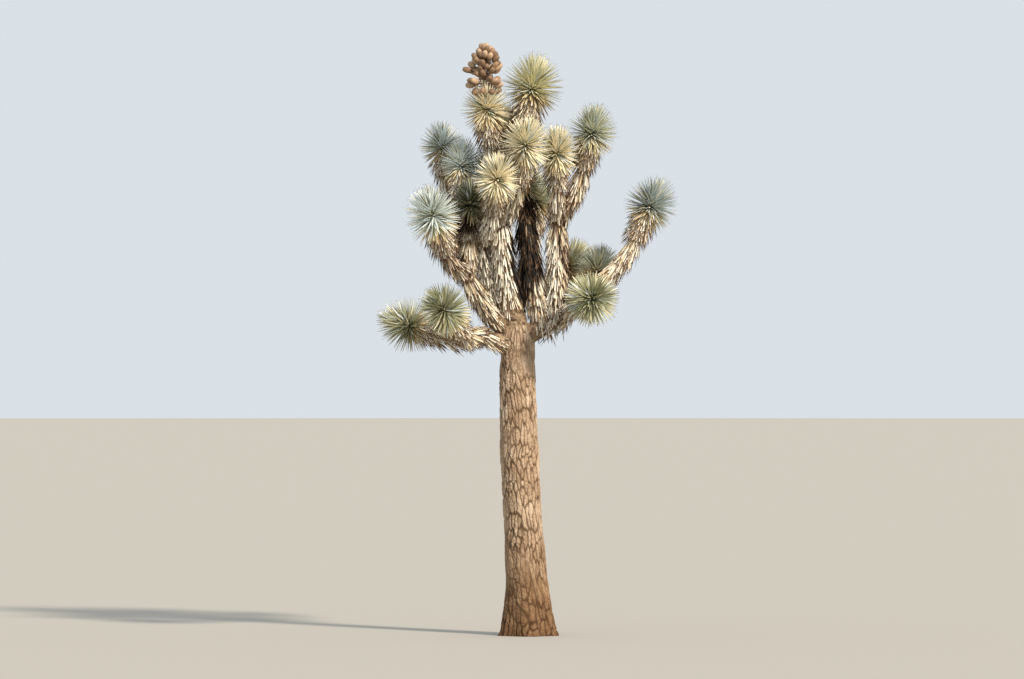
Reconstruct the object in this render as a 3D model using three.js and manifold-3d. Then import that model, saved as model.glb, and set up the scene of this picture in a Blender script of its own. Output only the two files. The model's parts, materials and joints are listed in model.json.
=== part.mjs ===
// A Joshua tree that is rooted in level ground. One trunk leans from a lobed root flare to its
// fork. Boughs leave it and fork again, and each of them ends in a head: a skirt of hanging dead
// leaves with a rosette of dagger leaves over it. One head at the top carries a dried fruit cluster.
// Millimetres, +X right, +Y away from the viewer, +Z up. The origin is the middle of the flat cut
// under the trunk.
import * as THREE from "three";
import { mergeVertices } from "three/addons/utils/BufferGeometryUtils.js";
import Module from "manifold-3d";

const wasm = await Module();
wasm.setup();

const SEED = 20;
const GAP = 0.5; // air between two pieces that meet
const SMOOTHING = 0.1; // that a joined or cut face may be moved to drop sliver faces
const WELD = 0.001; // distance under which two points of a mesh are one
const UP = new THREE.Vector3(0, 0, 1);
const GOLDEN_ANGLE = Math.PI * (3 - Math.sqrt(5));
const FRAMES = 120; // places on a limb's curve where its direction is worked out
const DOME_TOP = THREE.MathUtils.degToRad(72); // how far round the last ring of a dome stands
const DOME_STEPS = 2;
const STRETCHES = 14; // straight pieces that a limb's distances are measured from

const TRUNK = {
  fork: [-80, 0, 2210], // middle of the fork, from the foot
  footRadius: 152,
  forkRadius: 127,
  lowHold: 0.2, // share of its height over which it leaves the ground upright
  highHold: 0.5, // share of its height over which it comes upright again
  flareReach: 66, // that the root flare adds to the radius at the ground
  flareHeight: 180,
  lobes: 5,
  lobeDepth: 0.3, // of the flare's own reach
  sides: 20,
  steps: 14,
  crowding: 1.5, // power that brings its rings closer together at the ground
};

const BOUGH = {
  taper: 0.84, // radius at the end against the radius at the start
  flattening: 0.45, // how much of its rise it gives up where it leaves its limb
  upturn: 0.55, // how much steeper than its chord it ends
  hold: 0.36, // share of its length over which it keeps either direction
  shag: 0.05, // how far its shaggy surface stands out and in, as a share of its radius
  sides: 8,
  stepLength: 135,
  fewestSteps: 3,
};

// Each bough: the limb that it leaves, the share of that limb's length below it where that isn't
// all of it, its radius there, and its end as [right, back, up] from the trunk's foot. A fork is
// the middle of the next fork, a head is the middle of a rosette, and size is how large that head
// is against the others.
const BOUGHS = [
  { name: "left", from: "trunk", radius: 82, fork: [-455, -70, 2690] },
  { name: "leader", from: "trunk", radius: 106, fork: [-230, 20, 3300] },
  { name: "right", from: "trunk", radius: 82, fork: [360, -40, 2500] },
  { name: "low_left", from: "trunk", along: 0.975, radius: 70, fork: [-360, -160, 2240], upturn: 0.1 },
  { name: "middle_left", from: "leader", along: 0.12, radius: 76, fork: [-365, 90, 2930] },
  { name: "back", from: "leader", along: 0.2, radius: 76, fork: [-30, 390, 2640] },
  { name: "middle_right", from: "right", along: 0.62, radius: 88, fork: [218, 130, 3080] },
  { name: "left_high", from: "left", radius: 66, fork: [-545, 90, 3060] },
  { name: "left_outer", from: "left", radius: 64, head: [-700, -400, 3110], size: 0.98 },
  { name: "left_inner", from: "left", radius: 62, head: [-425, -130, 3240], size: 0.85 },
  { name: "left_middle", from: "left_high", radius: 60, head: [-495, 120, 3540], size: 0.85 },
  { name: "left_upper", from: "left_high", radius: 58, head: [-650, 420, 3695], size: 0.8 },
  { name: "top_left", from: "leader", radius: 66, head: [-305, -110, 3935], size: 0.9, upturn: 0.7 },
  { name: "top_right", from: "leader", radius: 68, head: [28, 140, 4065], size: 1.04 },
  { name: "middle_front", from: "leader", along: 0.8, radius: 64, head: [-20, -380, 3630], size: 0.96 },
  { name: "middle_low", from: "middle_left", radius: 60, head: [-225, -490, 3400], size: 0.88 },
  { name: "middle_back", from: "middle_left", radius: 60, head: [-275, 420, 3490], size: 0.88 },
  { name: "middle_inner", from: "right", along: 0.4, radius: 98, head: [-45, 200, 3400], size: 0.86 },
  { name: "middle_high", from: "leader", along: 0.9, radius: 62, head: [-165, 300, 3790], size: 0.86 },
  { name: "right_upper", from: "middle_right", radius: 62, head: [480, -10, 3760], size: 0.9 },
  { name: "right_inner", from: "middle_right", radius: 60, head: [215, -150, 3610], size: 0.88 },
  { name: "right_outer", from: "right", radius: 64, head: [925, 60, 3220], size: 0.9 },
  { name: "right_back", from: "right", radius: 60, head: [530, 420, 2740], size: 0.88 },
  { name: "right_front", from: "right", radius: 60, head: [465, -500, 2500], size: 0.96, upturn: 0.15 },
  { name: "low_left_outer", from: "low_left", radius: 60, head: [-905, -80, 2310], size: 0.94,
    upturn: 0.2 },
  { name: "low_left_front", from: "low_left", radius: 58, head: [-620, -570, 2420], size: 0.92,
    upturn: 0.35 },
  { name: "back_left", from: "back", radius: 62, head: [-330, 800, 2960], size: 0.92 },
  { name: "back_upper", from: "back", radius: 64, head: [60, 900, 3280], size: 0.92 },
  { name: "back_right", from: "back", radius: 60, head: [330, 830, 2780], size: 0.92 },
];

// A head at size 1, with heights along its own axis from the end of its bough: a skirt that
// narrows upward to the neck, and the packed heart that the green leaves stand out of.
const HEAD = {
  skirtBottom: 28,
  skirtRim: 32,
  skirtRadius: 90,
  slimmestSkirt: 0.7, // of that radius, where a neighbour is close
  neck: 218,
  neckRadius: 60,
  heartMiddle: 290,
  heartRadius: 94,
  shoulder: 362,
  shoulderRadius: 62,
  tip: 405,
  sides: 6,
  clearOfLimb: 9,
  clearOfHead: 16,
};
const LEAF = {
  length: 168,
  width: 44,
  thickness: 8,
  sides: 3,
  lengthJitter: 0.1,
  turnJitter: 0.12, // radians
  flattest: 3, // degrees from the head's axis
  triedLengths: [1, 0.82, 0.66], // a leaf that meets something is cut back twice, then left out
  testedAt: [0.3, 0.45, 0.6, 0.8, 1], // shares of its length where it has to be clear
};

// The leaves of a head from the lowest to the highest: the height of a root, its depth under the
// surface, and the leaf's angle from the head's axis in degrees.
const DEAD_LEAVES = {
  count: 8,
  heights: [120, 222],
  sunk: 12,
  angles: [156, 145],
  angleJitter: 6,
  lengthShares: [0.95, 1.05],
};
const GREEN_LEAVES = {
  count: 22,
  heights: [248, 378],
  sunk: 20,
  angles: [128, 10],
  angleJitter: 7,
  lengthShares: [0.92, 1],
};

const FRUIT_CLUSTER = {
  head: "top_left",
  height: 310, // of its stalk above the tip of the head
  stalkFoot: 340, // along the head's axis, inside its heart
  stalkRadius: 17,
  stalkSides: 6,
  fruits: 17,
  fruitLength: 84,
  fruitRadius: 35,
  widestAt: 0.45, // of a fruit's length
  fruitSides: 5,
  pedicelRadius: 8,
  pedicels: [44, 24], // their lengths, at the lowest fruit and at the tip
  bulge: 34, // that is added to them halfway up
  pedicelJitter: 0.2,
  heights: [0.1, 0.96], // shares of the stalk's height
  angles: [84, 30], // from the stalk in degrees
};

const BARK = new THREE.MeshStandardMaterial({ color: "#8a7460", roughness: 0.95, metalness: 0 });
const THATCH = new THREE.MeshStandardMaterial({ color: "#a8926f", roughness: 0.9, metalness: 0 });
const FOLIAGE = new THREE.MeshStandardMaterial({ color: "#7a8450", roughness: 0.6, metalness: 0 });

// A small seeded generator: the same tree every time.
let state = SEED;
function random() {
  state = (state + 0x6d2b79f5) | 0;
  let t = Math.imul(state ^ (state >>> 15), 1 | state);
  t = (t + Math.imul(t ^ (t >>> 7), 61 | t)) ^ t;
  return ((t ^ (t >>> 14)) >>> 0) / 4294967296;
}

function jitter(size) {
  return (random() * 2 - 1) * size;
}

function mix([from, to], share) {
  return THREE.MathUtils.lerp(from, to, share);
}

// A direction at an angle from +Z in degrees, turned round +Z by turn in radians.
function directionAt(degrees, turn) {
  const angle = THREE.MathUtils.degToRad(degrees);
  const out = Math.sin(angle);
  return new THREE.Vector3(out * Math.cos(turn), out * Math.sin(turn), Math.cos(angle));
}

// A closed geometry as a solid.
function solidOf(geometry) {
  const bare = geometry.clone();
  bare.deleteAttribute("normal");
  bare.deleteAttribute("uv");
  const merged = mergeVertices(bare, WELD);
  return new wasm.Manifold(
    new wasm.Mesh({
      numProp: 3,
      vertProperties: merged.attributes.position.array,
      triVerts: new Uint32Array(merged.index.array),
    }),
  );
}

function geometryOf(solid) {
  const { vertProperties, triVerts } = solid.getMesh();
  const geometry = new THREE.BufferGeometry();
  geometry.setAttribute("position", new THREE.BufferAttribute(vertProperties, 3));
  geometry.setIndex(new THREE.BufferAttribute(triVerts, 1));
  geometry.computeVertexNormals();
  return geometry;
}

// The largest of the bodies that a cut or a join leaves, without its sliver faces.
function largest(solid) {
  const bodies = solid.simplify(SMOOTHING).decompose();
  return bodies.reduce((a, b) => (a.volume() > b.volume() ? a : b));
}

// A limb: a round bar along a curve, with a radius that changes with the share of its length and
// with the angle round it, and a dome past its end where it carries a fork. It may be grown on all
// sides to cut room for itself.
function limbGeometry({ curve, radiusAt, sides, steps, domeSteps, crowding = 1 }, grow = 0) {
  const bar = new THREE.CylinderGeometry(1, 1, 1, sides, steps + domeSteps);
  const frames = curve.computeFrenetFrames(FRAMES);
  const position = bar.attributes.position;
  for (let i = 0; i < position.count; i++) {
    const ring = Math.round((position.getY(i) + 0.5) * (steps + domeSteps));
    const share = Math.pow(Math.min(ring / steps, 1), crowding);
    const frame = Math.round(share * FRAMES);
    const lift = (Math.max(ring - steps, 0) / Math.max(domeSteps, 1)) * DOME_TOP;
    const angle = Math.atan2(position.getZ(i), position.getX(i));
    const radius = radiusAt(share, angle, Math.min(ring, steps)) + grow;
    const isMiddle = Math.hypot(position.getX(i), position.getZ(i)) < 0.5;
    const out = isMiddle ? 0 : radius * Math.cos(lift);
    const place = curve
      .getPointAt(share)
      .addScaledVector(frames.tangents[frame], ring > 0 ? radius * Math.sin(lift) : -grow)
      .addScaledVector(frames.normals[frame], out * Math.cos(angle))
      .addScaledVector(frames.binormals[frame], -out * Math.sin(angle));
    position.setXYZ(i, place.x, place.y, place.z);
  }
  return bar;
}

function makeTrunk() {
  const fork = new THREE.Vector3(...TRUNK.fork);
  const curve = new THREE.CubicBezierCurve3(
    new THREE.Vector3(),
    new THREE.Vector3(0, 0, fork.z * TRUNK.lowHold),
    fork.clone().addScaledVector(UP, -fork.z * TRUNK.highHold),
    fork,
  );
  const radiusAt = (share, angle) => {
    const flare = TRUNK.flareReach * Math.exp((-share * fork.z) / TRUNK.flareHeight);
    const lobe = 1 + TRUNK.lobeDepth * Math.cos(TRUNK.lobes * angle);
    return mix([TRUNK.footRadius, TRUNK.forkRadius], share) + flare * lobe;
  };
  const { sides, steps, crowding } = TRUNK;
  return { name: "trunk", curve, radiusAt, sides, steps, domeSteps: DOME_STEPS, crowding };
}

function makeBough({ name, from, along = 1, radius, fork, head, upturn = BOUGH.upturn }, limbs) {
  const start = limbs.get(from).curve.getPointAt(along);
  const target = new THREE.Vector3(...(fork ?? head));
  const chord = target.clone().sub(start);
  const leaving = new THREE.Vector3(chord.x, chord.y, chord.z * (1 - BOUGH.flattening)).normalize();
  const axis = chord.clone().addScaledVector(UP, upturn * chord.length()).normalize();
  const end = head ? target.clone().addScaledVector(axis, -HEAD.heartMiddle) : target;
  const length = start.distanceTo(end);
  const curve = new THREE.CubicBezierCurve3(
    start,
    start.clone().addScaledVector(leaving, BOUGH.hold * length),
    end.clone().addScaledVector(axis, -BOUGH.hold * length),
    end,
  );
  const radiusAt = (share, angle, ring) => {
    const ragged = Math.cos(Math.PI * ring) * Math.cos((BOUGH.sides / 2) * angle);
    return radius * mix([1, BOUGH.taper], share) * (1 + BOUGH.shag * ragged);
  };
  const steps = Math.max(BOUGH.fewestSteps, Math.round(length / BOUGH.stepLength));
  const domeSteps = fork ? DOME_STEPS : 0;
  const endRadius = radius * BOUGH.taper;
  return { name: `bough_${name}`, curve, radiusAt, endRadius, sides: BOUGH.sides, steps, domeSteps };
}

// Cuts each limb clear of those before it, so that it starts on the face of the limb it leaves.
function limbSolids(limbs) {
  const grown = [];
  return limbs.map((limb) => {
    const whole = solidOf(limbGeometry(limb));
    const met = grown.filter((other) => whole.intersect(other).volume() > 0);
    grown.push(solidOf(limbGeometry(limb, GAP)));
    return largest(met.reduce((left, other) => left.subtract(other), whole));
  });
}

// Straight stretches of a limb with their radius, to measure distances from.
function limbStretches(limb) {
  const { curve, radiusAt } = limb;
  return Array.from({ length: STRETCHES }, (_, i) => ({
    limb,
    line: new THREE.Line3(curve.getPointAt(i / STRETCHES), curve.getPointAt((i + 1) / STRETCHES)),
    radius: radiusAt(i / STRETCHES, 0, 0),
  }));
}

function distanceToLine(point, line) {
  return line.closestPointToPoint(point, true, new THREE.Vector3()).distanceTo(point);
}

// Where a head stands: on the end of its bough, along the bough's own direction.
function headSeat({ name, size }, limb) {
  const axis = limb.curve.getTangentAt(1);
  const foot = limb.curve.getPointAt(1).addScaledVector(axis, GAP);
  const turn = new THREE.Quaternion().setFromUnitVectors(UP, axis);
  return {
    name,
    size,
    limb,
    footRadius: limb.endRadius,
    matrix: new THREE.Matrix4().compose(foot, turn, new THREE.Vector3(1, 1, 1)),
    stem: new THREE.Line3(foot, foot.clone().addScaledVector(axis, HEAD.tip * size)),
  };
}

// The widest skirt that leaves air to every limb and to the middle of the way to every other head.
function skirtRadius(seat, seats, stretches) {
  const rim = seat.stem.at(HEAD.skirtRim / HEAD.tip, new THREE.Vector3());
  const toLimbs = stretches
    .filter(({ limb }) => limb !== seat.limb)
    .map(({ line, radius }) => distanceToLine(rim, line) - radius - HEAD.clearOfLimb);
  const toHeads = seats
    .filter((other) => other !== seat)
    .map((other) => distanceToLine(rim, other.stem) / 2 - HEAD.clearOfHead);
  const full = HEAD.skirtRadius * seat.size;
  return Math.max(full * HEAD.slimmestSkirt, Math.min(full, ...toLimbs, ...toHeads));
}

// The outline of a head's core as [radius, height] from its foot to its tip.
function coreOutline(seat, seats, stretches) {
  const { size, footRadius } = seat;
  return [
    [footRadius, 0],
    [footRadius, HEAD.skirtBottom * size],
    [skirtRadius(seat, seats, stretches), HEAD.skirtRim * size],
    [HEAD.neckRadius * size, HEAD.neck * size],
    [HEAD.heartRadius * size, HEAD.heartMiddle * size],
    [HEAD.shoulderRadius * size, HEAD.shoulder * size],
    [0, HEAD.tip * size],
  ];
}

function outlineRadius(outline, height) {
  const above = outline.findIndex((point) => point[1] >= height);
  const [[lowRadius, low], [highRadius, high]] = outline.slice(above - 1, above + 1);
  return mix([lowRadius, highRadius], (height - low) / (high - low));
}

// A round body on +Z from an outline of [radius, height] that ends in a point.
function roundGeometry(outline, sides) {
  const profile = [[0, outline[0][1]], ...outline].map((point) => new THREE.Vector2(...point));
  return new THREE.LatheGeometry(profile, sides).rotateX(Math.PI / 2);
}

// True if a leaf from root to tip keeps clear of every limb and of what belongs to other heads.
function leafIsClear(root, tip, seat, seats, stretches) {
  return LEAF.testedAt.every((share) => {
    const point = root.clone().lerp(tip, share);
    const own = distanceToLine(point, seat.stem);
    return (
      seats.every(
        (other) => other === seat || distanceToLine(point, other.stem) > own + 2 * HEAD.clearOfHead,
      ) && stretches.every(({ line, radius }) => distanceToLine(point, line) > radius + HEAD.clearOfLimb)
    );
  });
}

// A dagger blade from its wide root to its tip, flat above and with a keel below.
function leafSolid(root, direction, turn, length) {
  const blade = new THREE.ConeGeometry(1, length, LEAF.sides);
  blade.computeBoundingBox();
  const section = blade.boundingBox.getSize(new THREE.Vector3());
  blade.scale(LEAF.width / section.x, 1, LEAF.thickness / section.z);
  blade.translate(0, length / 2, 0);
  const across = new THREE.Vector3(-Math.sin(turn), Math.cos(turn), 0);
  const placing = new THREE.Matrix4().makeBasis(across, direction, across.clone().cross(direction));
  return solidOf(blade.applyMatrix4(placing.setPosition(root)));
}

// The leaves of one kind round the core of a head, in the head's own frame, a golden angle apart.
function leafSolids(kind, seat, outline, seats, stretches) {
  const solids = [];
  for (let index = 0; index < kind.count; index++) {
    const share = index / (kind.count - 1);
    const turn = index * GOLDEN_ANGLE + jitter(LEAF.turnJitter);
    const degrees = Math.max(mix(kind.angles, share) + jitter(kind.angleJitter), LEAF.flattest);
    const direction = directionAt(degrees, turn);
    const height = mix(kind.heights, share) * seat.size;
    const out = outlineRadius(outline, height) - kind.sunk;
    const root = new THREE.Vector3(Math.cos(turn) * out, Math.sin(turn) * out, height);
    const reach = LEAF.length * seat.size * mix(kind.lengthShares, share) * (1 + jitter(LEAF.lengthJitter));
    const length = LEAF.triedLengths.map((part) => part * reach).find((tried) => {
      const ends = [root, root.clone().addScaledVector(direction, tried)];
      const [placedRoot, placedTip] = ends.map((end) => end.clone().applyMatrix4(seat.matrix));
      return leafIsClear(placedRoot, placedTip, seat, seats, stretches);
    });
    if (length) solids.push(leafSolid(root, direction, turn, length));
  }
  return solids;
}

// Oval fruits in a spiral round a stalk, each on its own pedicel.
function fruitCluster({ size }) {
  const { fruits, fruitLength, fruitRadius, pedicelRadius, stalkRadius } = FRUIT_CLUSTER;
  const foot = HEAD.tip * size;
  const stalk = [
    [stalkRadius, FRUIT_CLUSTER.stalkFoot * size],
    [stalkRadius, foot],
    [0, foot + FRUIT_CLUSTER.height],
  ];
  const solids = [solidOf(roundGeometry(stalk, FRUIT_CLUSTER.stalkSides))];
  for (let i = 0; i < fruits; i++) {
    const share = i / (fruits - 1);
    const arched = mix(FRUIT_CLUSTER.pedicels, share) + FRUIT_CLUSTER.bulge * Math.sin(Math.PI * share);
    const pedicel = arched * (1 + jitter(FRUIT_CLUSTER.pedicelJitter));
    const fruit = [
      [pedicelRadius, 0],
      [pedicelRadius, pedicel],
      [fruitRadius, pedicel + FRUIT_CLUSTER.widestAt * fruitLength],
      [0, pedicel + fruitLength],
    ];
    const axis = directionAt(mix(FRUIT_CLUSTER.angles, share), i * GOLDEN_ANGLE);
    const lean = new THREE.Quaternion().setFromUnitVectors(UP, axis);
    const height = foot + FRUIT_CLUSTER.height * mix(FRUIT_CLUSTER.heights, share);
    const geometry = roundGeometry(fruit, FRUIT_CLUSTER.fruitSides);
    solids.push(solidOf(geometry.applyQuaternion(lean).translate(0, 0, height)));
  }
  return solids;
}

function headSolid(seat, seats, stretches) {
  const outline = coreOutline(seat, seats, stretches);
  const solids = [
    solidOf(roundGeometry(outline, HEAD.sides)),
    ...leafSolids(DEAD_LEAVES, seat, outline, seats, stretches),
    ...leafSolids(GREEN_LEAVES, seat, outline, seats, stretches),
  ];
  if (seat.name === FRUIT_CLUSTER.head) solids.push(...fruitCluster(seat));
  return largest(wasm.Manifold.union(solids));
}

function buildTree() {
  const limbs = new Map([["trunk", makeTrunk()]]);
  for (const bough of BOUGHS) limbs.set(bough.name, makeBough(bough, limbs));
  const allLimbs = [...limbs.values()];
  const tree = new THREE.Group();
  limbSolids(allLimbs).forEach((solid, i) => {
    const { name, curve } = allLimbs[i];
    const start = curve.getPointAt(0);
    const geometry = geometryOf(solid).translate(-start.x, -start.y, -start.z);
    const mesh = new THREE.Mesh(geometry, name === "trunk" ? BARK : THATCH);
    mesh.name = name;
    mesh.position.copy(start);
    tree.add(mesh);
  });
  const seats = BOUGHS.filter(({ head }) => head).map((bough) => headSeat(bough, limbs.get(bough.name)));
  const stretches = allLimbs.flatMap(limbStretches);
  for (const seat of seats) {
    const mesh = new THREE.Mesh(geometryOf(headSolid(seat, seats, stretches)), FOLIAGE);
    mesh.name = `head_${seat.name}`;
    mesh.applyMatrix4(seat.matrix);
    tree.add(mesh);
  }
  return tree;
}

export default buildTree();
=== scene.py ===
# The looks of a rooted Joshua tree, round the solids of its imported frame.
# Limbs, heads and leaves grow by the rule that the solids follow, with real, narrow leaves in the
# same reach. Sizes are millimetres up to the point where a mesh is made.
import json
import math
from types import SimpleNamespace as Values

import bpy
import numpy as np
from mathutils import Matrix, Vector

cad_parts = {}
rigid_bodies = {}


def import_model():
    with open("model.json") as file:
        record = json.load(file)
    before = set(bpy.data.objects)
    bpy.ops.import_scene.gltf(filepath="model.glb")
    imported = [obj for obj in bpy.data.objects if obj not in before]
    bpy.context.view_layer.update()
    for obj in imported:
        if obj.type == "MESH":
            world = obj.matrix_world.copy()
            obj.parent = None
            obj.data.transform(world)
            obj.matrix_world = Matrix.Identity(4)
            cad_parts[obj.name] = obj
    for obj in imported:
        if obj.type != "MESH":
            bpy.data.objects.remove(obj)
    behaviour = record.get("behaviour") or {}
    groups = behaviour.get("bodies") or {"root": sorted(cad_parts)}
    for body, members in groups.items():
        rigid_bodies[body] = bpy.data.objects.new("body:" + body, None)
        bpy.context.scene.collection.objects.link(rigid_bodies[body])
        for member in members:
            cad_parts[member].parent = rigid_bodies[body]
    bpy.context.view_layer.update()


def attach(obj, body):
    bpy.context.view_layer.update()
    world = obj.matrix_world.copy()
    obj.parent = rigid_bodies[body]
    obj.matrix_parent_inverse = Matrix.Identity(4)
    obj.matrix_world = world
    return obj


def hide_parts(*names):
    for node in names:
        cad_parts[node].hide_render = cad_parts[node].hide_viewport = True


SEED = 20
METRE = 1000  # millimetres
GAP = 0.5  # between the end of a bough and its head
UP = np.array([0.0, 0.0, 1.0])
DOWN = -UP
RIGHT = np.array([1.0, 0.0, 0.0])
NEARLY_UPRIGHT = 0.9  # vertical part of a unit vector, above which RIGHT stands in for UP
GOLDEN_ANGLE = math.pi * (3 - math.sqrt(5))
FULL_TURN = 2 * math.pi
CURVE_STEPS = 200  # that a limb's length is summed over
DOME_TOP = math.radians(80)  # how far up the dome at a limb's end its last ring is
STRETCHES = 14  # straight pieces that a limb's distances are measured from

TRUNK = Values(
    fork=(-80, 0, 2210),
    foot_radius=152,
    fork_radius=127,
    low_hold=0.2,  # its curve's handle at the ground, as a share of its height
    high_hold=0.5,  # the same at its fork
    flare_reach=66,
    flare_height=180,
    lobes=5,
    lobe_depth=0.3,  # as a share of the flare
    sides=210,
    ring_gap=5.2,
    dome_rings=12,
    bulge=6,  # how far its slow swellings stand out and in
    bulge_size=190,
    plate=(30, 130),  # width and height of a cork plate
    crack_width=0.34,  # of a plate's width
    crack_depth=8.5,
    plate_lift=3,  # how unevenly the plates stand
    chip=(17, 30),  # the same for the small pieces that a plate is split into
    chip_crack_width=0.24,  # of a chip's width
    chip_crack_depth=4,
    grain=1.5,
    grain_size=9,
    # its tints, by the blend of its noises and of its plates' levels
    stops=((0.32, "#8a7159"), (0.45, "#a88e74"), (0.57, "#c0a88e"), (0.7, "#d4c3ad")),
    crack_colour="#57432f",
    patch_scale=7,  # of the noise that gives slow patches of tint, per metre
    fleck_scale=90,  # the same for fine flecks and for the bump
    bump_height=2.5,
)

# Values that the trunk has too mean the same here.
BOUGH = Values(
    taper=0.84,  # its end radius, as a share of its first
    flattening=0.45,  # how much flatter it leaves than it runs
    upturn=0.55,  # how strongly it turns up towards its end
    hold=0.36,  # its curve's handles, as a share of its length
    sides=34,
    ring_gap=9,
    dome_rings=6,
    core=0.66,  # radius of the wood under the thatch, as a share of the bough's radius
    bare=(40, 420),  # a bough that leaves the trunk is bare up to here and thatched from there
    bulge=4,
    bulge_size=120,
    plate=(24, 75),
    crack_width=0.24,
    crack_depth=4.5,
    plate_lift=2.5,
    chip=(12, 24),
    chip_crack_width=0.3,
    chip_crack_depth=1.6,
    grain=0.8,
    grain_size=7,
    stem_share=0.62,  # of the bough's end radius, for the stem inside a head
    stops=((0.3, "#755f49"), (0.5, "#9a8268"), (0.7, "#bba388")),
    crack_colour="#3d2f22",
    patch_scale=9,
    fleck_scale=110,
    bump_height=1.5,
)

# The bark of trunk and boughs.
BARK = Values(
    fewest_columns=3,  # of plates or chips round a limb
    warp=0.5,  # how far the plates' outlines wander, as a share of a plate
    raggedness=0.3,  # the same for their edges, as a share of a chip
    cracked=(-0.5, 0.2),  # noise at which the cracks start to open, and at which they are open
    least_crack=0.5,  # how open the cracks are before that
    chip_darkness=0.45,  # of the cracks between chips, against those between plates
    chip_tint=0.4,  # share of a chip's own level in the tint, beside its plate's
    roughness=0.95,
    specular=0.2,
    plate_share=0.3,  # of the plates' and chips' tint in the colour, beside the slow patches
    fleck_share=0.4,  # of the flecks in the colour, beside both
    patch_detail=5,
    fleck_detail=8,
    # what the colour is multiplied by, by metres above the ground: painted shade that darkens the bark
    # towards the foot
    foot_stops=((0, "#a28e78"), (0.35, "#c6b7a6"), (0.9, "#ffffff")),
)

# Each bough: the limb that it leaves, the share of that limb's length below it where that isn't all
# of it, its radius there, and its end as (right, back, up). A fork is where the next boughs leave it,
# a head is the middle of a rosette, size is how large that head is, and tone is the green that most
# of its leaves have.
BOUGHS = [
    dict(name="left", parent="trunk", radius=82, fork=(-455, -70, 2690)),
    dict(name="leader", parent="trunk", radius=106, fork=(-230, 20, 3300)),
    dict(name="right", parent="trunk", radius=82, fork=(360, -40, 2500)),
    dict(name="low_left", parent="trunk", along=0.975, radius=70, fork=(-360, -160, 2240), upturn=0.1),
    dict(name="middle_left", parent="leader", along=0.12, radius=76, fork=(-365, 90, 2930)),
    dict(name="back", parent="leader", along=0.2, radius=76, fork=(-30, 390, 2640)),
    dict(name="middle_right", parent="right", along=0.62, radius=88, fork=(218, 130, 3080)),
    dict(name="left_high", parent="left", radius=66, fork=(-545, 90, 3060)),
    dict(name="left_outer", parent="left", radius=64, head=(-700, -400, 3110), size=0.98,
         tone="frost"),
    dict(name="left_inner", parent="left", radius=62, head=(-425, -130, 3240), size=0.85,
         tone="shade"),
    dict(name="left_middle", parent="left_high", radius=60, head=(-495, 120, 3540), size=0.85,
         tone="frost"),
    dict(name="left_upper", parent="left_high", radius=58, head=(-650, 420, 3695), size=0.8,
         tone="frost"),
    dict(name="top_left", parent="leader", radius=66, head=(-305, -110, 3935), size=0.9,
         upturn=0.7, tone="straw"),
    dict(name="top_right", parent="leader", radius=68, head=(28, 140, 4065), size=1.04,
         tone="lime"),
    dict(name="middle_front", parent="leader", along=0.8, radius=64, head=(-20, -380, 3630),
         size=0.96, tone="straw"),
    dict(name="middle_low", parent="middle_left", radius=60, head=(-225, -490, 3400), size=0.88,
         tone="straw"),
    dict(name="middle_back", parent="middle_left", radius=60, head=(-275, 420, 3490), size=0.88,
         tone="blue"),
    dict(name="middle_inner", parent="right", along=0.4, radius=98, head=(-45, 200, 3400),
         size=0.86, tone="moss"),
    dict(name="middle_high", parent="leader", along=0.9, radius=62, head=(-165, 300, 3790),
         size=0.86, tone="lime"),
    dict(name="right_upper", parent="middle_right", radius=62, head=(480, -10, 3760), size=0.9,
         tone="sage"),
    dict(name="right_inner", parent="middle_right", radius=60, head=(215, -150, 3610), size=0.88,
         tone="straw"),
    dict(name="right_outer", parent="right", radius=64, head=(925, 60, 3220), size=0.9,
         tone="blue"),
    dict(name="right_back", parent="right", radius=60, head=(530, 420, 2740), size=0.88,
         tone="sage"),
    dict(name="right_front", parent="right", radius=60, head=(465, -500, 2500), size=0.96,
         upturn=0.15, tone="moss"),
    dict(name="low_left_outer", parent="low_left", radius=60, head=(-905, -80, 2310), size=0.94,
         upturn=0.2, tone="moss"),
    dict(name="low_left_front", parent="low_left", radius=58, head=(-620, -570, 2420), size=0.92,
         upturn=0.35, tone="moss"),
    dict(name="back_left", parent="back", radius=62, head=(-330, 800, 2960), size=0.92,
         tone="moss"),
    dict(name="back_upper", parent="back", radius=64, head=(60, 900, 3280), size=0.92,
         tone="sage"),
    dict(name="back_right", parent="back", radius=60, head=(330, 830, 2780), size=0.92,
         tone="olive"),
]

# A head at size 1, with heights along its own axis from the end of its bough.
HEAD = Values(
    skirt_bottom=28,
    skirt_rim=32,
    skirt_radius=90,
    neck=218,
    neck_radius=60,
    heart_middle=290,
    heart_radius=94,
    shoulder=362,
    shoulder_radius=62,
    tip=405,
    stem_top=352,
    stem_end=368,
    stem_radius=24,
    stem_tip=1,
    clear_of_limb=9,  # room that a leaf leaves to the other limbs
    clear_of_head=16,  # how much further it stays from the other heads than from its own
)
SOLID_LEAF_LENGTH = 168
TRIED_LENGTHS = (1, 0.82, 0.66)  # a leaf that meets something is cut back twice, then left out
TESTED_AT = (0.55, 0.7, 0.85, 1)  # shares of its length where it has to be clear

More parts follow.
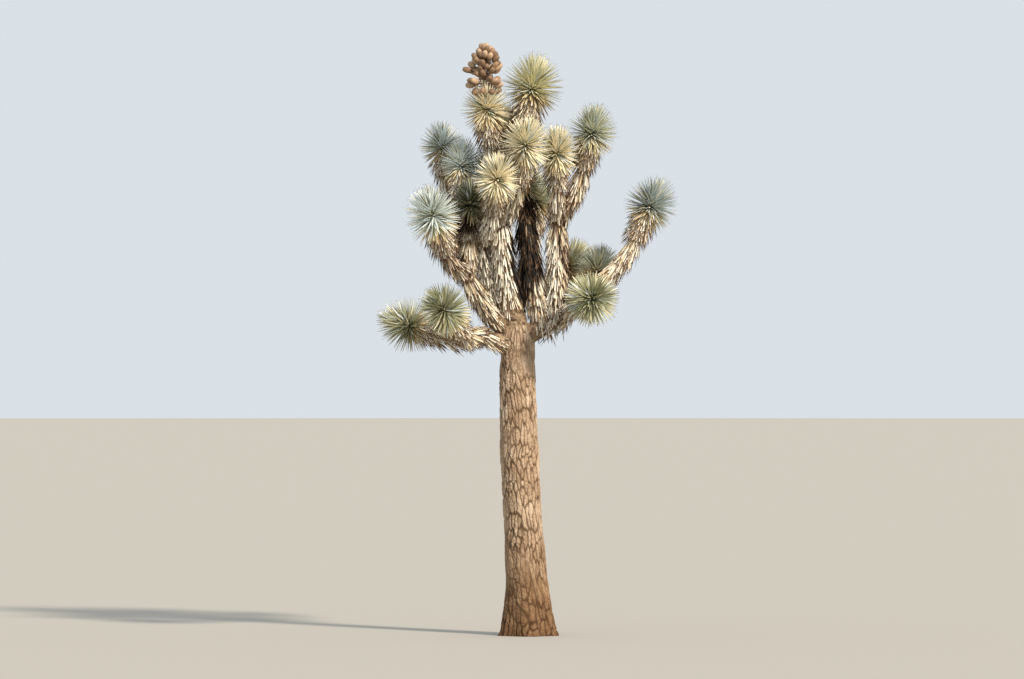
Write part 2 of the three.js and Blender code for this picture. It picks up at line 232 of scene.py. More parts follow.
# The leaves of a head. Heights and angles run from the lowest leaf to the highest, angles in
# degrees from the head's axis. Sunk is how deep in the head the leaf of the solid starts, which
# has the same tip. A leaf bends away from its first direction by shares of its length, by sag
# straight down and by rise towards its lower face. Twist is in radians to either side.
GREEN_LEAVES = Values(
    count=330,
    heights=(244, 384),
    angles=(124, 8),
    angle_jitter=9,
    sunk=20,
    length_shares=(0.9, 1),
    length_jitter=0.12,
    rise=-0.05,
    sag=0,
    twist=0.15,
    width=16,
    innermost=5,  # distance of the highest roots from the head's axis
)
FADING_LEAVES = Values(
    count=58,
    heights=(218, 258),
    angles=(143, 112),
    angle_jitter=9,
    sunk=20,
    length_shares=(0.95, 0.95),
    length_jitter=0.1,
    rise=0.03,
    sag=0.05,
    twist=0.4,
    width=15,
    innermost=HEAD.stem_radius,
)
SKIRT_LEAVES = Values(
    count=230,
    heights=(44, 236),
    angles=(163, 136),
    angle_jitter=9,
    sunk=26,
    length_shares=(0.88, 1),
    length_jitter=0.14,
    rise=0.02,
    sag=0.1,
    twist=0.9,
    width=12,
    innermost=HEAD.stem_radius,
)
THATCH = Values(
    per_metre=860,
    angles=(8, 25),  # from the bough's way back, in degrees
    hang=0.3,  # how strongly its own weight turns a leaf down
    lengths=(120, 182),
    tuck=0.1,  # how far its tip bends back to the bough, as a share of its length
    sag=0.05,
    twist=0.7,
    turn_jitter=0.5,
    width=10.5,
    sunk=4,
)

BLADE_SIDES = 4  # corners of a blade's section: its margins, its fold and its keel

# A blade: its stations as (share of its length, share of its width), how deep its upper face is
# folded as a share of its width, and how far its keel lies under the fold.
GREEN_BLADE = Values(
    stations=((0, 0.75), (0.14, 1), (0.42, 0.92), (0.72, 0.56), (0.93, 0.2)),
    fold=0.2,
    keel=2.8,
)
DRY_BLADE = Values(stations=((0, 0.8), (0.3, 1), (0.72, 0.6)), fold=0.28, keel=2)

GREEN_TONES = {
    "sage": "#c4c8b6",
    "olive": "#b8b592",
    "lime": "#dfd9b2",
    "straw": "#f4e9cb",
    "blue": "#b3bdbc",
    # a blue-grey leaf colour made paler as painted light, for the heads at the left that stand in the
    # shade of others
    "frost": "#e2eae8",
    "moss": "#a4a482",
    # painted shade: a dark green for the head that stands in a deep gap of the crown
    "shade": "#77775a",
}
OWN_TONE_SHARE = 0.7  # of a head's green leaves have its own tone
FADING_TONES = {"yellowing": "#dccfa4", "ochre": "#cbb589"}
DRY_TONES = {
    "cream": "#f2ebdb",
    "straw": "#e6dac0",
    "tan": "#d2bc9a",
    "grey": "#c2b6a5",
    "umber": "#8f775f",
    # a near-black that is only dealt out as painted deep shade
    "dark": "#120b06",
}
YOUNG_SHARES = (0.34, 0.3, 0.2, 0.1, 0.06, 0)  # of the dry tones, in their order
OLD_SHARES = (0.26, 0.28, 0.22, 0.16, 0.08, 0)
# painted light: pale tones that stand in for sunlit thatch
PAINTED_LIGHT_SHARES = (0.85, 0.15, 0, 0, 0, 0)
# painted shade: greyer, darker tones for thatch in half shade
PAINTED_HALF_SHADE_SHARES = (0, 0.06, 0.18, 0.3, 0.32, 0.14)
SHADED_SHARES = (0, 0.04, 0.12, 0.24, 0.4, 0.2)
# painted shade: near-black tones for thatch in deep shade
PAINTED_DEEP_SHADE_SHARES = (0, 0, 0, 0.02, 0.06, 0.92)
PAINTED_LIGHT_AND_SHADE = (  # places in the crown where the dry leaves take tones of painted light and painted shade: middle, reach, shares
    ((-230, -120, 2900), (170, 400, 470), PAINTED_LIGHT_SHARES),
    ((-590, 260, 3420), (190, 260, 220), PAINTED_LIGHT_SHARES),
    ((150, 60, 2800), (75, 240, 480), PAINTED_LIGHT_SHARES),
    ((310, 60, 3020), (95, 240, 330), PAINTED_HALF_SHADE_SHARES),
    ((-590, -210, 2820), (110, 260, 70), SHADED_SHARES),
    ((-50, 230, 2900), (155, 370, 430), PAINTED_DEEP_SHADE_SHARES),
    ((-440, -60, 3220), (90, 200, 170), PAINTED_DEEP_SHADE_SHARES),
)
SPINE = "#5a4028"  # the dark tip of every leaf
LEAF_ROUGHNESS = 0.5
DRY_ROUGHNESS = 0.75

FRUIT_CLUSTER = Values(
    head="top_left",
    height=310,  # of the part of the stalk that bears fruits
    stalk_foot=330,  # where it starts inside the rosette, along the head's axis
    stalk_radius=13,
    stalk_sides=10,
    fruits=66,
    fruit_length=70,
    fruit_radius=22,
    fruit_sides=14,
    fruit_rings=10,
    bluntness=0.75,  # power of the sine that a fruit's outline follows
    ridges=3,
    ridge=0.07,  # how far they stand out, as a share of the fruit's radius
    stalk_tip=0.5,  # of the stalk's radius
    pedicel_radius=4,
    pedicel_depth=0.25,  # how far a pedicel runs into its fruit, as a share of the fruit's length
    pedicels=(50, 26),  # lengths of the lowest and of the highest
    bulge=36,  # that is added to them halfway up
    pedicel_jitter=0.38,
    heights=(0.03, 0.97),  # of the lowest and of the highest fruit, as shares of that height
    angles=(90, 26),  # of the lowest and of the highest pedicel, in degrees from the stalk
    angle_jitter=16,
    turn_jitter=0.3,
    length_jitter=0.14,
    tones=("#b3977a", "#97795c", "#7a5f47"),
    roughness=0.6,
)

# The stage, the light and the camera, with lengths in metres and angles in degrees. The sensor is
# in millimetres.
FLOOR = Values(radius=160, sides=96, colour="#aca79e", roughness=0.95)
SKY = Values(colour="#dfe6ec", strength=0.95)
SUN = Values(towards=(0.52, -0.66, 0.54), strength=4.6, softness=6, colour="#fff3e2")
CAMERA = Values(
    distance=48,
    height=2.1,
    aim=(-0.12, 0, 2.2),
    frame_height=5.05,
    aspect=1024 / 679,
    sensor=36,
    far=600,
)

NOISE_CELLS = 32
NOISE_SHIFT = 1000  # that keeps a noise apart from another of the same size
rng = np.random.default_rng(SEED)
noise_values = rng.uniform(-1, 1, (NOISE_CELLS, NOISE_CELLS, NOISE_CELLS))


# Plain vector work. Every array of vectors has one vector in each row.
def unit(vectors):
    return vectors / np.linalg.norm(vectors, axis=-1, keepdims=True)


def mix(ends, share):
    return ends[0] + (ends[1] - ends[0]) * share


def jitter(size, count):
    return rng.uniform(-size, size, count)


def eased(share):
    return share * share * (3 - 2 * share)


def smooth_step(low, high, value):
    return eased(np.clip((value - low) / (high - low), 0, 1))


def turned(vectors, axes, angles):
    """Unit vectors that stand square to their axes, turned round them."""
    return vectors * np.cos(angles)[:, None] + np.cross(axes, vectors) * np.sin(angles)[:, None]


def linear(colour):
    """A colour written as #rrggbb in the linear values that Blender takes."""
    parts = np.array(list(bytes.fromhex(colour[1:]))) / 255
    # the standard curve between screen values and linear light
    lit = np.where(parts <= 0.04045, parts / 12.92, ((parts + 0.055) / 1.055) ** 2.4)
    return [*lit.tolist(), 1]


def noise(points, size):
    """Smooth noise from -1 to 1 with swellings of that size."""
    places = points / size
    cell = np.floor(places).astype(int)
    share = eased(places - cell)
    total = np.zeros(len(points))
    for corner in np.ndindex(2, 2, 2):
        weight = np.prod(np.where(corner, share, 1 - share), axis=1)
        total += weight * noise_values[tuple(((cell + corner) % NOISE_CELLS).T)]
    return total


def distances(points, starts, ends):
    """From each point to each straight stretch."""
    along = ends - starts
    square = np.einsum("sk,sk->s", along, along)
    share = np.einsum("psk,sk->ps", points[:, None] - starts, along) / square
    nearest = starts + np.clip(share, 0, 1)[..., None] * along
    return np.linalg.norm(points[:, None] - nearest, axis=-1)


class Limb:
    """A limb along a cubic curve, with its places taken by the share of its length."""

    def __init__(self, name, controls, radius_at, parent=None, forks=True):
        self.name = name
        self.controls = np.array(controls, float)
        self.radius_at = radius_at
        self.parent = parent
        self.forks = forks
        self.steps = np.linspace(0, 1, CURVE_STEPS + 1)
        points = self.curve(self.steps)
        self.lengths = np.append(0, np.cumsum(np.linalg.norm(np.diff(points, axis=0), axis=1)))
        self.length = self.lengths[-1]

    def curve(self, steps):
        ahead = steps[:, None]
        back = 1 - ahead
        weights = (back**3, 3 * back**2 * ahead, 3 * back * ahead**2, ahead**3)
        return sum(weight * control for weight, control in zip(weights, self.controls))

    def step_at(self, share):
        return np.interp(np.atleast_1d(share) * self.length, self.lengths, self.steps)

    def places(self, share):
        return self.curve(self.step_at(share))

    def directions(self, share):
        ahead = self.step_at(share)[:, None]
        back = 1 - ahead
        first, second, third = np.diff(self.controls, axis=0)
        return unit(back**2 * first + 2 * back * ahead * second + ahead**2 * third)

    def frames(self, share):
        """At each share, in rising order: the limb's direction and two directions across it."""
        ahead = self.directions(share)
        side = np.array([0.0, -1.0, 0.0])
        across = np.empty_like(ahead)
        for i, forward in enumerate(ahead):
            side = unit(side - forward * (side @ forward))
            across[i] = side
        return ahead, across, np.cross(ahead, across)


def make_trunk():
    fork = np.array(TRUNK.fork, float)
    height = fork[2]
    controls = [np.zeros(3), UP * height * TRUNK.low_hold, fork - UP * height * TRUNK.high_hold, fork]

    def radius_at(share, angle):
        flare = TRUNK.flare_reach * np.exp(-share * height / TRUNK.flare_height)
        lobe = 1 + TRUNK.lobe_depth * np.cos(TRUNK.lobes * angle)
        return mix((TRUNK.foot_radius, TRUNK.fork_radius), share) + flare * lobe

    return Limb("trunk", controls, radius_at)


def make_bough(bough, limbs):
    parent = limbs[bough["parent"]]
    start = parent.places(bough.get("along", 1))[0]
    target = np.array(bough.get("fork") or bough["head"], float)
    chord = target - start
    leaving = unit(chord * (1, 1, 1 - BOUGH.flattening))
    axis = unit(chord + UP * bough.get("upturn", BOUGH.upturn) * np.linalg.norm(chord))
    end = target - axis * HEAD.heart_middle if "head" in bough else target
    length = np.linalg.norm(end - start)
    controls = [start, start + leaving * BOUGH.hold * length, end - axis * BOUGH.hold * length, end]

    def radius_at(share, angle):
        return bough["radius"] * mix((1, BOUGH.taper), share) * np.ones_like(angle, float)

    return Limb(bough["name"], controls, radius_at, bough["parent"], "fork" in bough)


def limb_stretches(limbs):
    """Straight stretches of all limbs as their starts, ends, radii and limb names."""
    shares = np.linspace(0, 1, STRETCHES + 1)
    starts = []
    ends = []
    radii = []
    names = []
    for limb in limbs.values():
        places = limb.places(shares)
        starts.append(places[:-1])
        ends.append(places[1:])
        radii.append(limb.radius_at(shares[:-1], 0))
        names += [limb.name] * STRETCHES
    return Values(
        starts=np.concatenate(starts),
        ends=np.concatenate(ends),
        radii=np.concatenate(radii),
        names=np.array(names),
    )


class Seat:
    """Where a head stands: on the end of its bough, along the bough's own direction."""

    def __init__(self, bough, limb):
        self.name = bough["name"]
        self.size = bough["size"]
        self.tone = bough["tone"]
        self.limb = limb
        self.axis = limb.directions(1)[0]
        self.foot = limb.places(1)[0] + self.axis * GAP
        self.tip = self.foot + self.axis * HEAD.tip * self.size
        self.end_radius = limb.radius_at(1, 0)
        side = unit(np.cross(UP, self.axis))
        self.turn = np.array([side, np.cross(self.axis, side), self.axis])

    def placed(self, points):
        return self.foot + points @ self.turn

    def pointed(self, vectors):
        return vectors @ self.turn

    def core_radius(self, heights):
        outline = (
            (self.end_radius, 0),
            (self.end_radius, HEAD.skirt_bottom * self.size),
            (HEAD.skirt_radius * self.size, HEAD.skirt_rim * self.size),
            (HEAD.neck_radius * self.size, HEAD.neck * self.size),
            (HEAD.heart_radius * self.size, HEAD.heart_middle * self.size),
            (HEAD.shoulder_radius * self.size, HEAD.shoulder * self.size),
            (0, HEAD.tip * self.size),
        )
        radii, levels = np.array(outline).T
        return np.interp(heights, levels, radii)


# Leaves. A batch holds arrays with one row for each leaf.
def clear_shares(leaves, blocked):
    """The longest tried share of each leaf's length that blocked() lets pass, or 0 for none."""
    best = np.zeros(len(leaves.roots))
    for tried in reversed(TRIED_LENGTHS):
        clear = np.ones(len(best), bool)
        for share in TESTED_AT:
            part = tried * share
            points = leaves.roots + leaves.reaches * part + leaves.bends * part**2
            clear &= ~blocked(points)
        best[clear] = tried
    return best


def cut_back(leaves, shares):
    """The leaves that are left, each at its share of its length."""
    kept = shares > 0
    shares = shares[kept][:, None]
    return Values(
        roots=leaves.roots[kept],
        reaches=leaves.reaches[kept] * shares,
        bends=leaves.bends[kept] * shares**2,
        across=leaves.across[kept],
        widths=leaves.widths[kept],
        tones=leaves.tones[kept],
    )


def joined(batches):
    keys = vars(batches[0])
    return Values(**{key: np.concatenate([getattr(batch, key) for batch in batches]) for key in keys})


def head_leaves(kind, seat, seats, stretches, tones):
    """The leaves of one kind round a head, a golden angle apart."""
    count = kind.count
    share = np.linspace(0, 1, count)
    turn = np.arange(count) * GOLDEN_ANGLE + jitter(FULL_TURN / count, count)
    angle = np.radians(mix(kind.angles, share) + jitter(kind.angle_jitter, count))
    outward = np.stack([np.cos(turn), np.sin(turn), np.zeros(count)], axis=1)
    direction = outward * np.sin(angle)[:, None] + UP * np.cos(angle)[:, None]
    height = mix(kind.heights, share) * seat.size
    length = SOLID_LEAF_LENGTH * seat.size * mix(kind.length_shares, share)
    length *= 1 + jitter(kind.length_jitter, count)
    solid_root = outward * (seat.core_radius(height) - kind.sunk)[:, None] + UP * height[:, None]
    tip = solid_root + direction * length[:, None]
    root_radius = mix((HEAD.stem_radius, kind.innermost), share**2) * seat.size
    root = outward * root_radius[:, None] + UP * (height - kind.sunk * np.cos(angle))[:, None]
    reach = tip - root
    full = np.linalg.norm(reach, axis=1)[:, None]
    along = seat.pointed(reach / full)
    across = seat.pointed(np.cross(UP, outward))
    above = np.cross(along, across)
    bend = above * (-kind.rise) * full + DOWN * kind.sag * full
    leaves = Values(
        roots=seat.placed(root),
        reaches=seat.pointed(reach) - bend,
        bends=bend,
        across=turned(across, along, jitter(kind.twist, count)),
        widths=kind.width * seat.size * (1 + jitter(kind.length_jitter, count)),
        tones=tones,
    )
    others = [other for other in seats if other is not seat]
    feet = np.array([other.foot for other in others])
    tips = np.array([other.tip for other in others])
    not_own = stretches.names != seat.limb.name

    def blocked(points):
        own = distances(points, seat.foot[None], seat.tip[None])[:, 0]
        to_heads = distances(points, feet, tips).min(axis=1)
        to_limbs = distances(points, stretches.starts, stretches.ends) - stretches.radii
        near_limb = (to_limbs[:, not_own] < HEAD.clear_of_limb).any(axis=1)
        return near_limb | (to_heads < own + HEAD.clear_of_head)

    return cut_back(leaves, clear_shares(leaves, blocked))


def pick(names, shares, count):
    return rng.choice(np.array(list(names)), count, p=np.array(shares) / np.sum(shares))


def green_tones(seat, count):
    others = [name for name in GREEN_TONES if name != seat.tone]
    rest = (1 - OWN_TONE_SHARE) / len(others)
    return pick([seat.tone, *others], [OWN_TONE_SHARE] + [rest] * len(others), count)


def with_painted_light_and_shade(leaves):
    """The dry leaves with the tones of painted light and painted shade of the patches that they grow in.
    """
    for middle, reach, shares in PAINTED_LIGHT_AND_SHADE:
        within = np.linalg.norm((leaves.roots - middle) / reach, axis=1) < 1
        leaves.tones = np.where(within, pick(DRY_TONES, shares, len(within)), leaves.tones)
    return leaves


def thatch_leaves(limb, stretches):
    """Dead leaves along a bough, a golden angle apart, that hang back over the wood."""
    count = int(limb.length / METRE * THATCH.per_metre)
    share = (np.arange(count) + rng.random(count)) / count
    ahead, first, second = limb.frames(share)
    turn = np.arange(count) * GOLDEN_ANGLE + jitter(THATCH.turn_jitter, count)
    outward = first * np.cos(turn)[:, None] + second * np.sin(turn)[:, None]
    angle = np.radians(rng.uniform(*THATCH.angles, count))[:, None]
    level = np.linalg.norm(ahead[:, :2], axis=1)[:, None]
    hang = DOWN * THATCH.hang * level
    direction = unit(outward * np.sin(angle) - ahead * np.cos(angle) + hang)
    length = rng.uniform(*THATCH.lengths, count)[:, None]
    wood = limb.radius_at(share, turn) * BOUGH.core - THATCH.sunk
    bend = length * (DOWN * THATCH.sag - outward * THATCH.tuck)
    young = rng.random(count) < share
    tones = np.where(
        young & (not limb.forks),
        pick(DRY_TONES, YOUNG_SHARES, count),
        pick(DRY_TONES, OLD_SHARES, count),
    )
    leaves = Values(
        roots=limb.places(share) + outward * wood[:, None],
        reaches=direction * length - bend,
        bends=bend,
        across=turned(unit(np.cross(outward, direction)), direction, jitter(THATCH.twist, count)),
        widths=np.full(count, THATCH.width, float),
        tones=tones,
    )
    others = stretches.names != limb.name

    def blocked(points):
        to_limbs = distances(points, stretches.starts[others], stretches.ends[others])
        return (to_limbs < stretches.radii[others] * BOUGH.core).any(axis=1)

    shares = clear_shares(leaves, blocked)
    shares[blocked(leaves.roots)] = 0
    if limb.parent == "trunk":
        thatched = smooth_step(*BOUGH.bare, share * limb.length)
        shares[rng.random(count) > thatched] = 0
    return cut_back(leaves, shares)


# Meshes.
class Shape:
    """Points and faces that are gathered for one mesh."""

    def __init__(self):
        self.points = []
        self.faces = []
        self.face_sides = []
        self.values = []
        self.count = 0

    def add(self, points, *groups, values=None):
        """Adds points in millimetres, and groups of faces that all have one number of corners."""
        for faces in groups:
            self.faces.append(np.asarray(faces).ravel() + self.count)
            self.face_sides.append(np.full(len(faces), np.shape(faces)[1]))
        self.points.append(points)
        if values is not None:
            self.values.append(values)
        self.count += len(points)

    def piece(self, name, *materials):
        corners = np.concatenate(self.faces)
        sides = np.concatenate(self.face_sides)
        mesh = bpy.data.meshes.new(name)
        mesh.vertices.add(self.count)
        mesh.vertices.foreach_set("co", (np.concatenate(self.points) / METRE).astype(np.float32).ravel())
        mesh.loops.add(len(corners))
        mesh.loops.foreach_set("vertex_index", corners.astype(np.int32))
        mesh.polygons.add(len(sides))
        mesh.polygons.foreach_set("loop_start", np.append(0, np.cumsum(sides)[:-1]).astype(np.int32))
        mesh.update(calc_edges=True)
        mesh.shade_smooth()
        for material in materials:
            mesh.materials.append(material)
        piece = bpy.data.objects.new(name, mesh)
        bpy.context.scene.collection.objects.link(piece)
        return piece


def round_faces(rings, sides):
    """Quads between rings of points, and a face over either end ring."""
    ring, side = np.meshgrid(np.arange(rings - 1), np.arange(sides), indexing="ij")
    here = ring * sides + side
    beside = ring * sides + (side + 1) % sides
    quads = np.stack([here, beside, beside + sides, here + sides], axis=-1).reshape(-1, 4)
    first = np.arange(sides)[::-1][None]
    last = (np.arange(sides) + (rings - 1) * sides)[None]
    return quads, first, last


def plates(around, along, girth, length, cell):
    """For points of an unrolled limb, around from 0 to 1 and along in millimetres: how far each is
    from the edge of its plate, as a share of a plate, and a level from -1 to 1 that each plate has
    to itself."""
    width, height = cell
    columns = max(BARK.fewest_columns, round(girth / width))
    rows = int(length / height) + 2
    middles = rng.random((columns, rows, 2))
    levels = rng.uniform(-1, 1, (columns, rows))
    x = around * columns
    y = along / height
    column = np.floor(x).astype(int)
    row = np.floor(y).astype(int)
    nearest = np.full(x.shape, np.inf)
    second = np.full(x.shape, np.inf)
    level = np.zeros(x.shape)
    for step in np.ndindex(3, 3):  # the cell that the point is in and the eight round it
        c = column + step[0] - 1
        r = row + step[1] - 1
        middle = middles[c % columns, r % rows]
        distance = np.hypot(c + middle[..., 0] - x, r + middle[..., 1] - y)
        closer = distance < nearest
        second = np.where(closer, nearest, np.minimum(second, distance))
        nearest = np.where(closer, distance, nearest)
        level = np.where(closer, levels[c % columns, r % rows], level)
    return second - nearest, level


def bark_relief(places, around, along, girth, length, style):
    """For points of an unrolled limb: how far the bark stands out, how deep in a crack the point
    is, and its tint, both from 0 to 1."""

    def waves(size, shift=0):
        return noise(places + shift, size).reshape(along.shape)

    warp = waves(style.plate[1]) * BARK.warp
    ragged = waves(style.chip[0]) * BARK.raggedness
    around = around + (warp * style.plate[0] + ragged * style.chip[0]) / girth
    along = along + warp * style.plate[1] + ragged * style.chip[1]
    gap, level = plates(around, along, girth, length, style.plate)
    chip_gap, chip_level = plates(around, along, girth, length, style.chip)
    open_share = smooth_step(*BARK.cracked, waves(style.bulge_size, NOISE_SHIFT))
    crack = (1 - smooth_step(0, style.crack_width, gap)) * mix((BARK.least_crack, 1), open_share)
    chip_crack = (1 - smooth_step(0, style.chip_crack_width, chip_gap)) * (1 - crack)
    relief = waves(style.bulge_size) * style.bulge + waves(style.grain_size) * style.grain
    relief += (1 - crack) * level * style.plate_lift
    relief -= crack * style.crack_depth + chip_crack * style.chip_crack_depth
    relief -= relief.mean()  # so the limb keeps its size
    depth = np.maximum(crack, chip_crack * BARK.chip_darkness)
    tint = (mix((level, chip_level), BARK.chip_tint) + 1) / 2
    return relief, depth, tint


def add_limb(shape, limb, style, radius_share):
    """A limb with its cork plates, closed at its start and by a dome at its end."""
    ring_count = int(limb.length / style.ring_gap) + 1
    share = np.append(np.linspace(0, 1, ring_count), np.ones(style.dome_rings))
    lift = np.append(np.zeros(ring_count), np.linspace(0, DOME_TOP, style.dome_rings + 1)[1:])
    angle = np.arange(style.sides) / style.sides * FULL_TURN
    ahead, first, second = limb.frames(share)
    radius = limb.radius_at(share[:, None], angle[None]) * radius_share(share)[:, None]
    outward = (
        first[:, None] * np.cos(angle)[None, :, None] - second[:, None] * np.sin(angle)[None, :, None]
    )
    middle = limb.places(share) + ahead * (radius.mean(axis=1) * np.sin(lift))[:, None]
    flat = middle[:, None] + outward * (radius * np.cos(lift)[:, None])[..., None]
    around = np.broadcast_to(angle / FULL_TURN, radius.shape)
    along = (share * limb.length + lift * radius.mean(axis=1))[:, None] * np.ones(style.sides)
    girth = radius.mean() * FULL_TURN
    places = flat.reshape(-1, 3)
    relief, depth, tint = bark_relief(places, around, along, girth, limb.length + girth, style)
    points = flat + outward * (relief * np.cos(lift)[:, None])[..., None]
    points += ahead[:, None] * (relief * np.sin(lift)[:, None])[..., None]
    points[0] = flat[0]  # the cut at its start keeps the solid's outline
    values = np.stack([depth, tint], axis=-1).reshape(-1, 2)
    shape.add(points.reshape(-1, 3), *round_faces(len(share), style.sides), values=values)


def add_bark_values(piece, shape):
    """The depth in a crack and the tint of a plate, for the bark's material."""
    for name, values in zip(("crack", "tint"), np.concatenate(shape.values).T):
        attribute = piece.data.attributes.new(name, "FLOAT", "POINT")
        attribute.data.foreach_set("value", values.astype(np.float32))


def blade_piece(name, leaves, blade, material, tip_material):
    """One mesh of folded, pointed blades: for each station the left margin, the fold, the right
    margin and the keel below, then the tip."""
    shares, widths = np.array(blade.stations).T
    rings = len(shares)
    count = len(leaves.roots)
    places = leaves.roots[:, None] + leaves.reaches[:, None] * shares[:, None]
    places = places + leaves.bends[:, None] * shares[:, None] ** 2
    ahead = unit(leaves.reaches[:, None] + 2 * leaves.bends[:, None] * shares[:, None])
    across = leaves.across[:, None]
    above = unit(np.cross(ahead, across))
    width = (leaves.widths[:, None] * widths)[..., None]
    keel = (blade.keel * widths)[None, :, None]
    lifted = above * width * blade.fold
    columns = [
        places - across * width / 2 + lifted,
        places,
        places + across * width / 2 + lifted,
        places - above * keel,
    ]
    body_size = rings * BLADE_SIDES
    body = np.stack(columns, axis=2).reshape(count, body_size, 3)
    tips = (leaves.roots + leaves.reaches + leaves.bends)[:, None]
    points = np.concatenate([body, tips], axis=1)
    quads, cap, last = round_faces(rings, BLADE_SIDES)
    quads = quads[:, [0, 3, 2, 1]]  # a blade's columns run the other way round
    tip_faces = np.stack([last[0], np.full(BLADE_SIDES, body_size), np.roll(last[0], -1)], axis=1)
    size = body_size + 1
    offsets = (np.arange(count) * size)[:, None, None]
    shape = Shape()
    shape.add(
        points.reshape(-1, 3),
        (quads + offsets).reshape(-1, 4),
        (cap[:, ::-1] + offsets).reshape(-1, 4),
        (tip_faces + offsets).reshape(-1, 3),
    )
    piece = shape.piece(name, material, tip_material)
    mark_margins(piece.data, size)
    is_tip = np.zeros(len(piece.data.polygons), np.int32)
    is_tip[-count * len(tip_faces):] = 1
    piece.data.polygons.foreach_set("material_index", is_tip)
    return piece


def mark_margins(mesh, size):
    """The two margins of each blade stay sharp, and its fold and keel are rounded. Size is how many
    points a blade has, the tip last."""
    ends = np.empty(len(mesh.edges) * 2, np.int32)
    mesh.edges.foreach_get("vertices", ends)
    within = ends.reshape(-1, 2) % size
    is_tip = within == size - 1
    column = within % BLADE_SIDES
    on_left = ((column == 0) | is_tip).all(axis=1)
    on_right = ((column == 2) | is_tip).all(axis=1)
    sharp = mesh.attributes.new("sharp_edge", "BOOLEAN", "EDGE")
    sharp.data.foreach_set("value", on_left | on_right)


def add_lathe(shape, outline, sides, base, axis, ridges=0, ridge=0):
    """A round body on an axis from its base, from an outline of (radius, height)."""
    side = unit(np.cross(axis, UP if abs(axis[2]) < NEARLY_UPRIGHT else RIGHT))
    over = np.cross(axis, side)
    angle = np.arange(sides) / sides * FULL_TURN
    swell = 1 + ridge * np.cos(ridges * angle)
    ring = side * (np.cos(angle) * swell)[:, None] + over * (np.sin(angle) * swell)[:, None]
    radii, heights = np.array(outline).T
    points = base + axis * heights[:, None, None] + ring[None] * radii[:, None, None]
    shape.add(points.reshape(-1, 3), *round_faces(len(radii), sides))


# Materials.
def plain_material(name, colour, roughness):
    material = bpy.data.materials.new(name)
    material.use_nodes = True
    shader = material.node_tree.nodes["Principled BSDF"]
    shader.inputs["Base Color"].default_value = linear(colour)
    shader.inputs["Roughness"].default_value = roughness
    return material


def ramp(nodes, stops):
    node = nodes.new("ShaderNodeValToRGB")
    elements = node.color_ramp.elements
    while len(elements) < len(stops):
        elements.new(1)
    for element, (position, colour) in zip(elements, stops):
        element.position = position
        element.color = linear(colour)
    return node


def noise_texture(nodes, links, coordinates, scale, detail):
    node = nodes.new("ShaderNodeTexNoise")
    node.inputs["Scale"].default_value = scale
    node.inputs["Detail"].default_value = detail
    links.new(coordinates.outputs["Object"], node.inputs["Vector"])
    return node


def bark_material(name, style):
    """Cork with slow patches of colour, fine flecks, dark cracks, and painted shade towards the foot."""
    material = bpy.data.materials.new(name)
    material.use_nodes = True
    nodes = material.node_tree.nodes
    links = material.node_tree.links
    shader = nodes["Principled BSDF"]
    shader.inputs["Roughness"].default_value = BARK.roughness
    shader.inputs["Specular IOR Level"].default_value = BARK.specular
    coordinates = nodes.new("ShaderNodeTexCoord")
    patches = noise_texture(nodes, links, coordinates, style.patch_scale, BARK.patch_detail)
    flecks = noise_texture(nodes, links, coordinates, style.fleck_scale, BARK.fleck_detail)
    plate = nodes.new("ShaderNodeAttribute")
    plate.attribute_name = "tint"
    plated = nodes.new("ShaderNodeMix")
    plated.inputs["Factor"].default_value = BARK.plate_share
    links.new(patches.outputs["Fac"], plated.inputs["A"])
    links.new(plate.outputs["Fac"], plated.inputs["B"])
    blend = nodes.new("ShaderNodeMix")
    blend.inputs["Factor"].default_value = BARK.fleck_share
    links.new(plated.outputs["Result"], blend.inputs["A"])
    links.new(flecks.outputs["Fac"], blend.inputs["B"])
    tint = ramp(nodes, style.stops)
    links.new(blend.outputs["Result"], tint.inputs["Fac"])
    crack = nodes.new("ShaderNodeAttribute")
    crack.attribute_name = "crack"
    darken = nodes.new("ShaderNodeMix")
    darken.data_type = "RGBA"
    links.new(crack.outputs["Fac"], darken.inputs["Factor"])
    links.new(tint.outputs["Color"], darken.inputs["A"])
    darken.inputs["B"].default_value = linear(style.crack_colour)
    place = nodes.new("ShaderNodeSeparateXYZ")
    links.new(coordinates.outputs["Object"], place.inputs["Vector"])
    # painted shade: the colour is multiplied darker towards the foot, by height above the ground
    foot_shade_ramp = ramp(nodes, BARK.foot_stops)
    links.new(place.outputs["Z"], foot_shade_ramp.inputs["Fac"])
    foot_shaded = nodes.new("ShaderNodeMix")
    foot_shaded.data_type = "RGBA"
    foot_shaded.blend_type = "MULTIPLY"
    foot_shaded.inputs["Factor"].default_value = 1
    links.new(darken.outputs["Result"], foot_shaded.inputs["A"])
    links.new(foot_shade_ramp.outputs["Color"], foot_shaded.inputs["B"])
    links.new(foot_shaded.outputs["Result"], shader.inputs["Base Color"])
    bump = nodes.new("ShaderNodeBump")
    bump.inputs["Distance"].default_value = style.bump_height / METRE
    bump.inputs["Strength"].default_value = 1
    links.new(flecks.outputs["Fac"], bump.inputs["Height"])
    links.new(bump.outputs["Normal"], shader.inputs["Normal"])
    return material


# The pieces.
def show(piece, slot, *nodes):
    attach(piece, "root")
    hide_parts(*nodes)


def make_trunk_piece(trunk):
    shape = Shape()
    add_limb(shape, trunk, TRUNK, lambda share: np.ones(len(share)))
    piece = shape.piece("trunk_bark", bark_material("trunk_bark", TRUNK))
    add_bark_values(piece, shape)
    show(piece, "bark", "trunk")


